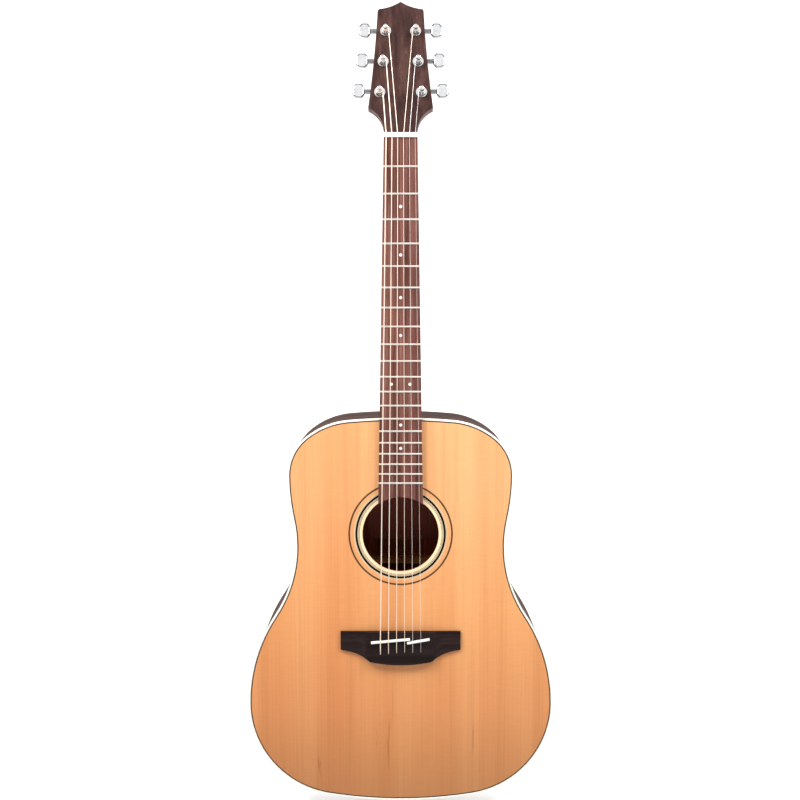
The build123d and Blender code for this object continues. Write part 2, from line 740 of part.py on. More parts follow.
def side_dots(proud=0.0):
    """Small dots set into the bass edge of the fretboard, or the tools that cut their holes."""
    with BuildPart() as dots:
        for number in DOT_FRETS:
            middle = (fret_at(number - 1) + fret_at(number)) / 2
            edge = -board_width(middle) / 2
            centre = (edge + 1.4, Y_TOP - BOARD_THICK / 2, drop(middle))
            with BuildSketch(Plane(origin=centre, z_dir=(-1, 0, 0))):
                Circle(SIDE_DOT_RADIUS)
            extrude(amount=1.35 + proud)
    return dots.part


with BuildPart() as fretboard:
    with BuildSketch(facing(0)):
        with BuildLine():
            Polyline(
                (-BOARD_NUT_WIDTH / 2, NUT_Z),
                (BOARD_NUT_WIDTH / 2, NUT_Z),
                (board_width(BOARD_END_AT) / 2, drop(BOARD_END_AT)),
                (-board_width(BOARD_END_AT) / 2, drop(BOARD_END_AT)),
                close=True,
            )
        make_face()
        with Locations((0, drop(SOUNDHOLE_AT))):
            Circle(SOUNDHOLE_RADIUS, mode=Mode.SUBTRACT)
    extrude(amount=BOARD_THICK)
    for number in range(1, FRET_COUNT + 1):
        with BuildSketch(facing(-BOARD_THICK)):
            with Locations((0, drop(fret_at(number)))):
                Rectangle(BOARD_NUT_WIDTH * 2, TANG_WIDTH)
        extrude(amount=-TANG_DEPTH, mode=Mode.SUBTRACT)
    with BuildSketch(facing(-BOARD_THICK)):
        with Locations(*dot_places()):
            Circle(DOT_RADIUS)
    extrude(amount=-DOT_DEPTH, mode=Mode.SUBTRACT)
    add(side_dots(proud=2.0), mode=Mode.SUBTRACT)
finish(fretboard.part, "fretboard")

with BuildPart() as frets:
    for number in range(1, FRET_COUNT + 1):
        distance = fret_at(number)
        half = board_width(distance) / 2
        with BuildSketch(Plane(origin=(-half, 0, 0), z_dir=(1, 0, 0), x_dir=(0, 1, 0))):
            with BuildLine():
                crown = Y_TOP - BOARD_THICK
                level = drop(distance)
                Polyline(
                    (crown, level + FRET_WIDTH / 2),
                    (crown, level + TANG_WIDTH / 2),
                    (crown + TANG_DEPTH, level + TANG_WIDTH / 2),
                    (crown + TANG_DEPTH, level - TANG_WIDTH / 2),
                    (crown, level - TANG_WIDTH / 2),
                    (crown, level - FRET_WIDTH / 2),
                )
                ThreePointArc(
                    (crown, level - FRET_WIDTH / 2),
                    (crown - FRET_HEIGHT, level),
                    (crown, level + FRET_WIDTH / 2),
                )
            make_face()
        extrude(amount=2 * half)
finish(frets.part, "frets")

with BuildPart() as position_dots:
    with BuildSketch(facing(-BOARD_THICK)):
        with Locations(*dot_places()):
            Circle(DOT_RADIUS)
    extrude(amount=-DOT_DEPTH)
    add(side_dots())
finish(position_dots.part, "position_dots")


def string_at_nut(index):
    """Distance of a string from the centre line at the nut."""
    return NUT_SPREAD * (index / 5 - 0.5)


def string_at_saddle(index):
    """Distance of a string from the centre line at the saddle."""
    return SADDLE_SPREAD * (index / 5 - 0.5)


def saddle_line(index):
    """Distance from the nut of a string's crossing of the saddle under it."""
    across = string_at_saddle(index)
    first, last = SADDLES["saddle_bass" if index < 4 else "saddle_treble"]
    share = (across - first[0]) / (last[0] - first[0])
    return first[1] + share * (last[1] - first[1])


def string_ends(index):
    """Anchor and saddle crossing of a string, the string's own thickness allowed for."""
    radius = STRING_GAUGES[index] / 2
    across = string_at_saddle(index)
    anchor = Vector(across, Y_TOP - BALL_HEIGHT, drop(BALL_AT))
    crossing = Vector(
        across, Y_TOP - SADDLE_CREST - SEAT_GAP - radius, drop(saddle_line(index))
    )
    return anchor, crossing


def nut_crossing(index):
    """Point inside the nut where a string turns down towards its post."""
    height = NUT_SEAT + SEAT_GAP + STRING_GAUGES[index] / 2
    return Vector(string_at_nut(index), Y_TOP - height, NUT_Z + NUT_THICK / 3)


def post_end(index):
    """End of a string, beside the inner face of its tuner post."""
    side, place, up = TUNER_PLACES[index]
    beside = side * (place - POST_RADIUS - 0.25 - STRING_GAUGES[index] / 2)
    return HEAD_FRONT.from_local_coords((beside, up, WINDING_RISE))


with BuildPart() as nut:
    with BuildSketch(facing(0)):
        with Locations((0, NUT_Z + NUT_THICK / 2)):
            Rectangle(BOARD_NUT_WIDTH, NUT_THICK)
    extrude(amount=NUT_HEIGHT)
    fillet(nut.edges().filter_by(Axis.X).sort_by(Axis.Y)[:2], radius=1.0)
    for index, gauge in enumerate(STRING_GAUGES):
        seat = nut_crossing(index)
        below = (string_ends(index)[1] - seat).normalized() * NUT_THICK
        above = (post_end(index) - seat).normalized() * NUT_THICK
        for start, end in ((seat + below, seat - below * 0.05), (seat - above * 0.05, seat + above)):
            with BuildSketch(Plane(origin=start, x_dir=(1, 0, 0), z_dir=end - start)):
                with Locations((0, gauge / 2 + SEAT_GAP)):
                    Rectangle(gauge + 0.4, NUT_HEIGHT, align=(Align.CENTER, Align.MAX))
            extrude(amount=(end - start).length, mode=Mode.SUBTRACT)
finish(nut.part, "nut")

# ---- Bridge and saddles ----


def saddle_plane(ends, depth):
    """Plane parallel to the soundboard, centred on a saddle and turned along it."""
    first = Vector(ends[0][0], 0, drop(ends[0][1]))
    last = Vector(ends[1][0], 0, drop(ends[1][1]))
    middle = (first + last) * 0.5
    return Plane(
        origin=(middle.X, Y_TOP + depth, middle.Z), x_dir=last - first, z_dir=(0, -1, 0)
    ), (last - first).length


BRIDGE_CORNER = (40, drop(BRIDGE_END_AT - 4.2))
with BuildPart() as bridge:
    with BuildSketch(facing(0)):
        with BuildLine():
            Line((0, drop(BRIDGE_AT)), (BRIDGE_HALF, drop(BRIDGE_AT)))
            Line((BRIDGE_HALF, drop(BRIDGE_AT)), (BRIDGE_HALF, drop(BRIDGE_WING_AT)))
            Spline((BRIDGE_HALF, drop(BRIDGE_WING_AT)), (60, drop(668.4)), BRIDGE_CORNER)
            ThreePointArc(BRIDGE_CORNER, (21, drop(BRIDGE_END_AT - 1)), (0, drop(BRIDGE_END_AT)))
            mirror(about=Plane.YZ)
        make_face()
    extrude(amount=BRIDGE_HEIGHT)
    for hand in (-1, 1):
        with BuildSketch(Plane.XY.offset(drop(BRIDGE_AT) + 1)):
            with BuildLine():
                block_edge = (hand * BRIDGE_BLOCK_HALF, Y_TOP - BRIDGE_HEIGHT)
                wing_root = (hand * WING_FLAT_FROM, Y_TOP - WING_HEIGHT)
                wing_middle = hand * (BRIDGE_BLOCK_HALF + WING_FLAT_FROM - 3) / 2
                past_end = hand * (BRIDGE_HALF + 2)
                Polyline(
                    block_edge,
                    (block_edge[0], Y_TOP - BRIDGE_HEIGHT - 2),
                    (past_end, Y_TOP - BRIDGE_HEIGHT - 2),
                    (past_end, Y_TOP - WING_HEIGHT + 0.2),
                    wing_root,
                )
                ThreePointArc(wing_root, (wing_middle, Y_TOP - WING_HEIGHT - 1.2), block_edge)
            make_face()
        extrude(amount=BRIDGE_AT - BRIDGE_END_AT - 4, mode=Mode.SUBTRACT)
    for saddle_ends in SADDLES.values():
        slot_plane, slot_length = saddle_plane(saddle_ends, -BRIDGE_HEIGHT + SADDLE_SLOT_DEPTH)
        with BuildSketch(slot_plane):
            Rectangle(slot_length, SADDLE_THICK)
        extrude(amount=SADDLE_SLOT_DEPTH + 1, mode=Mode.SUBTRACT)
    for index, gauge in enumerate(STRING_GAUGES):
        anchor, crossing = string_ends(index)
        hole_plane = Plane(origin=anchor, z_dir=crossing - anchor)
        with BuildSketch(hole_plane):
            Circle(gauge / 2 + 0.35)
        extrude(amount=PAST / 2, mode=Mode.SUBTRACT)
        with BuildSketch(hole_plane.offset(BALL_LENGTH / 2 + 0.1)):
            Circle(BALL_RADIUS + 0.1)
        extrude(amount=-PAST / 2, mode=Mode.SUBTRACT)
finish(bridge.part, "bridge")

for saddle_name, saddle_ends in SADDLES.items():
    with BuildPart() as saddle:
        foot_plane, saddle_length = saddle_plane(saddle_ends, -BRIDGE_HEIGHT + SADDLE_SLOT_DEPTH)
        with BuildSketch(foot_plane):
            Rectangle(saddle_length, SADDLE_THICK)
        extrude(amount=SADDLE_CREST - BRIDGE_HEIGHT + SADDLE_SLOT_DEPTH)
        top_edges = saddle.faces().sort_by(Axis.Y)[0].edges().sort_by(SortBy.LENGTH)[-2:]
        fillet(top_edges, radius=1.4)
    finish(saddle.part, saddle_name)

# ---- Strings ----

for index, name in enumerate(STRING_NAMES):
    gauge = STRING_GAUGES[index]
    anchor, crossing = string_ends(index)
    with BuildPart() as string:
        with BuildLine():
            FilletPolyline(anchor, crossing, nut_crossing(index), post_end(index), radius=2.5)
        with BuildSketch(Plane(origin=anchor, z_dir=crossing - anchor)):
            Circle(gauge / 2)
        sweep()
        with BuildSketch(Plane(origin=anchor, z_dir=anchor - crossing)):
            Circle(BALL_RADIUS)
        extrude(amount=BALL_LENGTH / 2, both=True)
    finish(string.part, f"string_{name}")

# ---- Tuners ----

def head_height(face):
    """Height of a face in front of the head's wooden face."""
    return HEAD.to_local_coords(face.center()).Z


with BuildPart() as tuner_housings:
    for side, place, up in TUNER_PLACES:
        with BuildSketch(HEAD_BACK):
            with Locations((side * place, up + HOUSING_MIDDLE)):
                RectangleRounded(HOUSING_WIDTH, HOUSING_LENGTH, 5)
        extrude(amount=-HOUSING_DEPTH)
    fillet(tuner_housings.faces().sort_by(head_height)[:6].edges(), radius=2.4)
    for side, place, up in TUNER_PLACES:
        with BuildSketch(HEAD_BACK):
            with BuildLine():
                left = side * place - EAR_HALF
                right = side * place + EAR_HALF
                ear_end = up + EAR_OFFSET
                ear_root = up - HOUSING_LENGTH / 2 + HOUSING_MIDDLE + 1
                ThreePointArc((left, ear_end), (side * place, ear_end - EAR_HALF), (right, ear_end))
                Polyline((right, ear_end), (right, ear_root), (left, ear_root), (left, ear_end))
            make_face()
        extrude(amount=-EAR_THICK)
        worm_axis = HEAD_BACK.from_local_coords((side * place, up + WORM_OFFSET, -WORM_DEPTH))
        with BuildSketch(Plane(origin=worm_axis, z_dir=(side, 0, 0))):
            Circle(SLEEVE_RADIUS)
        extrude(amount=SLEEVE_END)
    for side, place, up in TUNER_PLACES:
        with BuildSketch(HEAD_BACK):
            with Locations((side * place, up)):
                Circle(GEAR_RADIUS + 0.5)
        extrude(amount=-POCKET_DEPTH, mode=Mode.SUBTRACT)
        with BuildSketch(HEAD_BACK):
            with Locations((side * place, up)):
                Circle(PIVOT_RADIUS + RUNNING_FIT)
        extrude(amount=-PIVOT_DEPTH - 0.2, mode=Mode.SUBTRACT)
        with BuildSketch(HEAD_BACK):
            with Locations((side * place, up + EAR_OFFSET)):
                Circle(EAR_SCREW_RADIUS)
        extrude(amount=-PAST, mode=Mode.SUBTRACT)
        worm_axis = HEAD_BACK.from_local_coords((side * place, up + WORM_OFFSET, -WORM_DEPTH))
        with BuildSketch(Plane(origin=worm_axis, z_dir=(side, 0, 0))):
            Circle(WORM_RADIUS + 0.3)
        extrude(amount=WORM_LENGTH / 2 + 0.3, both=True, mode=Mode.SUBTRACT)
        with BuildSketch(Plane(origin=worm_axis, z_dir=(side, 0, 0))):
            Circle(SHAFT_RADIUS + RUNNING_FIT)
        extrude(amount=PAST, mode=Mode.SUBTRACT)
        with BuildSketch(Plane(origin=worm_axis, z_dir=(-side, 0, 0))):
            Circle(PIVOT_RADIUS + RUNNING_FIT)
        extrude(amount=WORM_LENGTH / 2 + 2.3, mode=Mode.SUBTRACT)
finish(tuner_housings.part, "tuner_housings")

with BuildPart() as tuner_bushings:
    for side, place, up in TUNER_PLACES:
        with BuildSketch(HEAD_BACK):
            with Locations((side * place, up)):
                Circle(BUSHING_RADIUS)
        extrude(amount=HEAD_THICK + VENEER_THICK + WASHER_THICK + 0.1)
        with BuildSketch(HEAD_FRONT.offset(WASHER_THICK + 0.05)):
            with Locations((side * place, up)):
                RegularPolygon(HEX_FLATS / 2, 6, major_radius=False, rotation=30)
        extrude(amount=HEX_HEIGHT)
        with BuildSketch(HEAD_BACK):
            with Locations((side * place, up)):
                Circle(POST_RADIUS + RUNNING_FIT)
        extrude(amount=PAST, mode=Mode.SUBTRACT)
        with BuildSketch(HEAD_FRONT):
            with Locations((side * place, up)):
                Circle(WASHER_RADIUS)
                Circle(BUSHING_RADIUS + 0.05, mode=Mode.SUBTRACT)
        extrude(amount=WASHER_THICK)
finish(tuner_bushings.part, "tuner_bushings")

with BuildPart() as tuner_screws:
    for side, place, up in TUNER_PLACES:
        with BuildSketch(HEAD_BACK.offset(EAR_SCREW_DEPTH)):
            with Locations((side * place, up + EAR_OFFSET)):
                Circle(EAR_SCREW_RADIUS)
        extrude(amount=-EAR_SCREW_DEPTH - EAR_THICK)
        with BuildSketch(HEAD_BACK.offset(-EAR_THICK)):
            with Locations((side * place, up + EAR_OFFSET)):
                Circle(EAR_SCREW_HEAD)
        extrude(amount=-EAR_SCREW_HEIGHT)
        with BuildSketch(HEAD_BACK.offset(-EAR_THICK - EAR_SCREW_HEIGHT)):
            with Locations((side * place, up + EAR_OFFSET)):
                Rectangle(1.3 * EAR_SCREW_HEAD, 0.6)
                Rectangle(0.6, 1.3 * EAR_SCREW_HEAD)
        extrude(amount=EAR_SCREW_HEIGHT / 2, mode=Mode.SUBTRACT)
finish(tuner_screws.part, "tuner_screws")

for name, (side, place, up) in zip(STRING_NAMES, TUNER_PLACES):
    worm_axis = HEAD_BACK.from_local_coords((side * place, up + WORM_OFFSET, -WORM_DEPTH))
    outward = Plane(origin=worm_axis, x_dir=BACK.x_dir.cross(HEAD.z_dir), z_dir=(side, 0, 0))

    with BuildPart() as worm:
        with BuildSketch(outward.offset(-WORM_LENGTH / 2 - 2)):
            Circle(PIVOT_RADIUS)
        extrude(amount=2.2)
        with BuildSketch(outward.offset(-WORM_LENGTH / 2)):
            Circle(WORM_ROOT)
        extrude(amount=WORM_LENGTH)
        thread_pitch = pi * 2 * (WORM_OFFSET - WORM_RADIUS) / GEAR_TEETH
        for turn in range(-1, 3):
            with BuildSketch(outward.offset((turn - 0.5) * thread_pitch - THREAD_THICK / 2)):
                Circle(WORM_RADIUS)
            extrude(amount=THREAD_THICK)
        with BuildSketch(outward.offset(WORM_LENGTH / 2)):
            Circle(SHAFT_RADIUS)
        extrude(amount=BUTTON_START - WORM_LENGTH / 2)
        with BuildSketch(outward.offset(BUTTON_START)):
            Rectangle(STEM_SIDE, STEM_SIDE)
        extrude(amount=BUTTON_LENGTH - 3)
    finish(worm.part, f"tuner_{name}_worm")

    with BuildPart() as button:
        with BuildSketch(Plane(origin=worm_axis, x_dir=(side, 0, 0), z_dir=HEAD.z_dir)):
            with BuildLine():
                inner_sides = Polyline(
                    (BUTTON_ROUND_FROM, BUTTON_WIDTH / 2),
                    (BUTTON_START + BUTTON_SHOULDER, BUTTON_WIDTH / 2),
                    (BUTTON_START, BUTTON_NECK_WIDTH / 2),
                    (BUTTON_START, -BUTTON_NECK_WIDTH / 2),
                    (BUTTON_START + BUTTON_SHOULDER, -BUTTON_WIDTH / 2),
                    (BUTTON_ROUND_FROM, -BUTTON_WIDTH / 2),
                )
                ThreePointArc(inner_sides @ 1, (BUTTON_START + BUTTON_LENGTH, 0), inner_sides @ 0)
            make_face()
            fillet(vertices(), radius=BUTTON_CORNER_RADIUS)
        extrude(amount=BUTTON_THICK / 2, both=True)
        broad_faces = button.faces().sort_by(head_height)
        fillet(broad_faces[0].edges() + broad_faces[-1].edges(), radius=BUTTON_EDGE_RADIUS)
        with BuildSketch(outward.offset(BUTTON_START)):
            Rectangle(STEM_SIDE, STEM_SIDE)
        extrude(amount=BUTTON_LENGTH - 3, mode=Mode.SUBTRACT)
    finish(button.part, f"tuner_{name}_button")

    with BuildPart() as post:
        with BuildSketch(HEAD_BACK.offset(-PIVOT_DEPTH)):
            with Locations((side * place, up)):
                Circle(PIVOT_RADIUS)
        extrude(amount=PIVOT_DEPTH - WORM_DEPTH - GEAR_THICK / 2 + 0.1)
        with BuildSketch(HEAD_BACK.offset(-WORM_DEPTH - GEAR_THICK / 2)):
            with Locations((side * place, up)):
                Circle(GEAR_ROOT)
                with PolarLocations(GEAR_ROOT, GEAR_TEETH):
                    Rectangle(2 * (GEAR_RADIUS - GEAR_ROOT), TOOTH_THICK)
        extrude(amount=GEAR_THICK)
        with BuildSketch(HEAD_BACK.offset(-WORM_DEPTH)):
            with Locations((side * place, up)):
                Circle(POST_RADIUS)
        extrude(amount=WORM_DEPTH + HEAD_THICK + VENEER_THICK + POST_RISE)
        fillet(post.faces().sort_by(head_height)[-1].edges(), radius=0.8)
        hole_place = HEAD_FRONT.from_local_coords((side * place, up, STRING_HOLE_RISE))
        with BuildSketch(Plane(origin=hole_place, z_dir=(1, 0, 0))):
            Circle(STRING_HOLE_RADIUS)
        extrude(amount=PAST, both=True, mode=Mode.SUBTRACT)
    finish(post.part, f"tuner_{name}_post")

# ---- Strap button ----

STRAP_BORE = SCREW_RADIUS + RUNNING_FIT
with BuildPart() as strap_button:
    with BuildSketch(Plane.XZ.offset(-(Y_TOP + MID_DEPTH))):
        with BuildLine():
            foot = (STRAP_FOOT_RADIUS, BODY_BOTTOM - 1.5)
            head_edge = (STRAP_HEAD_RADIUS, STRAP_HEAD_EDGE)
            rim = (STRAP_HEAD_RADIUS, 0.8)
            face_edge = (STRAP_HEAD_RADIUS - 0.8, 0)
            Polyline((STRAP_BORE, BODY_BOTTOM), (STRAP_FOOT_RADIUS, BODY_BOTTOM), foot)
            ThreePointArc(foot, (STRAP_NECK_RADIUS, BODY_BOTTOM - 6.5), head_edge)
            Line(head_edge, rim)
            ThreePointArc(rim, (STRAP_HEAD_RADIUS - 0.2, 0.2), face_edge)
            Polyline(face_edge, (2 * STRAP_BORE, 0), (STRAP_BORE, 1.8), (STRAP_BORE, BODY_BOTTOM))
        make_face()
    revolve(axis=Axis((0, Y_TOP + MID_DEPTH, 0), (0, 0, 1)))
finish(strap_button.part, "strap_button")

with BuildPart() as strap_button_screw:
    with BuildSketch(Plane.XZ.offset(-(Y_TOP + MID_DEPTH))):
        with BuildLine():
            Polyline(
                (0, 0.3),
                (3.3, 0.3),
                (SCREW_RADIUS, 1.85),
                (SCREW_RADIUS, BODY_BOTTOM + 15),
                (0, BODY_BOTTOM + 18),
                close=True,
            )
        make_face()
    revolve(axis=Axis((0, Y_TOP + MID_DEPTH, 0), (0, 0, 1)))
    with BuildSketch(Plane.XY.offset(0.3)):
        with Locations((0, Y_TOP + MID_DEPTH)):
            Rectangle(4.0, 0.8)
            Rectangle(0.8, 4.0)
    extrude(amount=0.9, mode=Mode.SUBTRACT)
finish(strap_button_screw.part, "strap_button_screw")
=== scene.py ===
import json
import math

import bmesh
import bpy
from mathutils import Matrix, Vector


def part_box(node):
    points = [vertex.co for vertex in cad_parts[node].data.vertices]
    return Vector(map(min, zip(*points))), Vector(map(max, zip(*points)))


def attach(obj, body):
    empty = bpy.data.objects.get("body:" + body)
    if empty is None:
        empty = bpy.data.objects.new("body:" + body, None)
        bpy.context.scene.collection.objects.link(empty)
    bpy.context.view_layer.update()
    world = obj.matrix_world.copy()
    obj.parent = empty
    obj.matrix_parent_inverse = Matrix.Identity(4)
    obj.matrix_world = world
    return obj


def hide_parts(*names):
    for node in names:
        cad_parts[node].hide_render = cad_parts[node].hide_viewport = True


# An upright acoustic guitar on a pale studio floor. Everything is in metres, in the CAD frame.

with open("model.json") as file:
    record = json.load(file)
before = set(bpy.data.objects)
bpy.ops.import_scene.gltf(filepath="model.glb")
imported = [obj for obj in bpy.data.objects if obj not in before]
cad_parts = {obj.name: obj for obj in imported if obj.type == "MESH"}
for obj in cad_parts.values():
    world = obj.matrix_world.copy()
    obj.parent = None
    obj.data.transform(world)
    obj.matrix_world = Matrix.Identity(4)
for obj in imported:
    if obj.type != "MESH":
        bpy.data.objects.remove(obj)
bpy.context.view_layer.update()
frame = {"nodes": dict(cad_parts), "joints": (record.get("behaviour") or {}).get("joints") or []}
nodes = frame["nodes"]

MM = 0.001
BODY_LOW, BODY_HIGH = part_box("top_binding")
BODY_MIDDLE = (BODY_LOW + BODY_HIGH) / 2
STRINGS = ("low_e", "a", "d", "g", "b", "high_e")
GAUGES_MM = (1.35, 1.07, 0.81, 0.61, 0.41, 0.30)
WOUND = STRINGS[:4]


# ---- Node helpers ----


class Painter:
    """One new material and short names for the nodes that colour it."""

    def __init__(self, name):
        self.material = bpy.data.materials.new(name)
        self.material.use_nodes = True
        self.tree = self.material.node_tree
        self.shader = self.tree.nodes["Principled BSDF"]
        self.coords = self.node("ShaderNodeTexCoord").outputs["Object"]

    def node(self, kind, **settings):
        made = self.tree.nodes.new(kind)
        for key, value in settings.items():
            setattr(made, key, value)
        return made

    def link(self, source, target):
        self.tree.links.new(source, target)

    def feed(self, node, values):
        """Set or link a node's inputs, given by name or number."""
        for key, value in values.items():
            if isinstance(value, bpy.types.NodeSocket):
                self.link(value, node.inputs[key])
            else:
                node.inputs[key].default_value = value
        return node

    def math(self, operation, *values):
        node = self.node("ShaderNodeMath", operation=operation)
        self.feed(node, dict(enumerate(values)))
        return node.outputs[0]

    def stretched(self, scale, source=None):
        """The object's coordinates, scaled along each axis."""
        node = self.node("ShaderNodeMapping")
        self.feed(node, {"Vector": source or self.coords, "Scale": scale})
        return node.outputs[0]

    def noise(self, scale, detail=3.0, rough=0.55, warp=0.0, source=None):
        node = self.node("ShaderNodeTexNoise")
        values = {"Vector": self.stretched(scale, source), "Scale": 1.0, "Detail": detail}
        self.feed(node, {**values, "Roughness": rough, "Distortion": warp})
        return node.outputs["Fac"]

    def ramp(self, factor, *stops):
        """Colour or grey ramp through (position, colour) stops."""
        node = self.node("ShaderNodeValToRGB")
        elements = node.color_ramp.elements
        while len(elements) < len(stops):
            elements.new(0.5)
        for element, (place, colour) in zip(elements, stops):
            element.position = place
            element.color = (*colour, 1) if isinstance(colour, tuple) else (colour,) * 3 + (1,)
        self.link(factor, node.inputs[0])
        return node.outputs[0]

    def mix(self, factor, first, second, blend="MIX"):
        node = self.node("ShaderNodeMix", data_type="RGBA", blend_type=blend)
        for socket, value in ((node.inputs[0], factor), (node.inputs[6], first), (node.inputs[7], second)):
            if isinstance(value, bpy.types.NodeSocket):
                self.link(value, socket)
            elif isinstance(value, tuple):
                socket.default_value = (*value, 1)
            else:
                socket.default_value = value
        return node.outputs[2]

    def bump(self, height, strength, distance):
        node = self.node("ShaderNodeBump")
        self.feed(node, {"Height": height, "Strength": strength, "Distance": distance})
        self.link(node.outputs[0], self.shader.inputs["Normal"])

    def finish(self, colour=None, roughness=None, **values):
        if colour is not None:
            self.feed(self.shader, {"Base Color": colour})
        if roughness is not None:
            self.feed(self.shader, {"Roughness": roughness})
        for key, value in values.items():
            self.shader.inputs[key.replace("_", " ")].default_value = value
        return self.material


# ---- Materials ----

RAW_TINT = (4.6, 2.6, 1.6)


def cedar():
    """Bookmatched cedar: fine straight grain, warm bands, a satin varnish, and painted shade that darkens it
    towards the bottom.
    """
    p = Painter("cedar_top")
    split = p.node("ShaderNodeSeparateXYZ")
    p.link(p.coords, split.inputs[0])
    folded = p.node("ShaderNodeCombineXYZ")
    p.feed(folded, {0: p.math("ABSOLUTE", split.outputs[0]), 1: split.outputs[1], 2: split.outputs[2]})
    leaf = folded.outputs[0]
    bands = p.noise((17, 17, 0.8), detail=4, rough=0.55, warp=0.25)
    streaks = p.noise((95, 95, 1.3), detail=5, rough=0.65, warp=0.35, source=leaf)
    lines = p.noise((760, 760, 3.4), detail=3, rough=0.6, warp=0.2, source=leaf)
    stains = p.noise((44, 44, 3.4), detail=5, rough=0.7, warp=0.35)
    silk = p.noise((60, 60, 380), detail=2)
    base = p.ramp(
        bands, (0.30, (0.70, 0.292, 0.110)), (0.50, (0.76, 0.350, 0.142)), (0.70, (0.81, 0.408, 0.178))
    )
    shade = p.ramp(streaks, (0.26, (0.86, 0.80, 0.74)), (0.44, (0.97, 0.96, 0.95)), (0.60, (1.0, 1.0, 1.0)))
    grain = p.ramp(lines, (0.34, 0.88), (0.50, 0.98), (0.60, 1.0))
    mark = p.ramp(stains, (0.30, (0.62, 0.50, 0.42)), (0.38, (1.0, 1.0, 1.0)))
    fleck = p.ramp(silk, (0.35, 0.96), (0.65, 1.0))
    # Height share along the body: it drives the painted shade below and also keeps the stains to the lower
    # part.
    body_height_share = p.node("ShaderNodeMapRange")
    p.feed(body_height_share, {"Value": split.outputs[2], "From Min": BODY_LOW.z, "From Max": BODY_HIGH.z})
    # Painted shade: the colour gets darker and more olive towards the bottom of the body, where less light
    # falls.
    painted_bottom_shade = p.ramp(
        body_height_share.outputs[0],
        (0.0, (0.54, 0.48, 0.38)),
        (0.25, (0.84, 0.73, 0.63)),
        (0.5, (0.96, 0.90, 0.80)),
        (0.8, (0.98, 1.0, 1.0)),
    )
    low_marks = p.ramp(body_height_share.outputs[0], (0.15, 0.85), (0.45, 0.15))
    colour = p.mix(0.8, base, shade, "MULTIPLY")
    colour = p.mix(0.7, colour, grain, "MULTIPLY")
    colour = p.mix(low_marks, colour, p.mix(1.0, colour, mark, "MULTIPLY"))
    colour = p.mix(0.8, colour, fleck, "MULTIPLY")
    # Painted shade: multiplies in the darkening towards the bottom.
    colour = p.mix(1.0, colour, painted_bottom_shade, "MULTIPLY")
    p.bump(lines, 0.25, 0.00008)
    rough = p.ramp(streaks, (0.3, 0.46), (0.7, 0.38))
    return p.finish(colour, rough, Coat_Weight=0.05, Coat_Roughness=0.3, Specular_IOR_Level=0.35)


def brown_wood(name, dark, middle, light, coarse=1.0, roughness=0.4, sheen=0.4, along="Z", raw_inside=False):
    """Open-pored dark wood with its grain along one axis; its front-facing side may be unvarnished."""
    p = Painter(name)

    def scale(across, length):
        across *= coarse
        return {
            "Z": (across, across, length),
            "X": (length, across, across),
            "rim": (length, across, length),
        }[along]

    bands = p.noise(scale(60, 3.0), detail=5, rough=0.6, warp=0.6)
    streaks = p.noise(scale(420, 7.0), detail=3, rough=0.6, warp=0.15)
    pores = p.noise(scale(1500, 60), detail=1)
    base = p.ramp(bands, (0.32, dark), (0.50, middle), (0.70, light))
    shade = p.ramp(streaks, (0.30, 0.62), (0.50, 0.95), (0.65, 1.12))
    pits = p.ramp(pores, (0.33, 0.35), (0.40, 1.0))
    colour = p.mix(0.8, base, shade, "MULTIPLY")
    colour = p.mix(0.6, colour, pits, "MULTIPLY")
    if raw_inside:
        split = p.node("ShaderNodeSeparateXYZ")
        p.link(p.node("ShaderNodeTexCoord").outputs["Normal"], split.inputs[0])
        inside = p.math("LESS_THAN", split.outputs[1], -0.3)
        colour = p.mix(inside, colour, p.mix(1.0, colour, RAW_TINT, "MULTIPLY"))
    p.bump(pits, 0.35, 0.00006)
    rough = p.ramp(streaks, (0.3, roughness + 0.08), (0.7, roughness - 0.05))
    return p.finish(colour, rough, Specular_IOR_Level=sheen)


def pale_wood():
    """Planed spruce of the braces, unvarnished."""
    p = Painter("planed_spruce")
    bands = p.noise((90, 90, 6), detail=4, warp=0.2)
    lines = p.noise((900, 900, 12), detail=2)
    base = p.ramp(bands, (0.3, (0.52, 0.33, 0.15)), (0.7, (0.70, 0.49, 0.26)))
    grain = p.ramp(lines, (0.36, 0.78), (0.55, 1.0))
    p.bump(lines, 0.3, 0.00008)
    return p.finish(p.mix(0.8, base, grain, "MULTIPLY"), 0.62)


def plastic(name, light, shade, roughness, mottle=260, sheen=0.5):
    """Moulded or bone-like plastic with faint mottling and rubbed patches."""
    p = Painter(name)
    clouds = p.noise((mottle, mottle, mottle * 0.35), detail=4)
    rubs = p.noise((900, 900, 140), detail=2)
    colour = p.ramp(clouds, (0.35, shade), (0.65, light))
    p.bump(rubs, 0.12, 0.00004)
    rough = p.ramp(rubs, (0.3, roughness + 0.08), (0.7, roughness))
    return p.finish(colour, rough, Specular_IOR_Level=sheen)


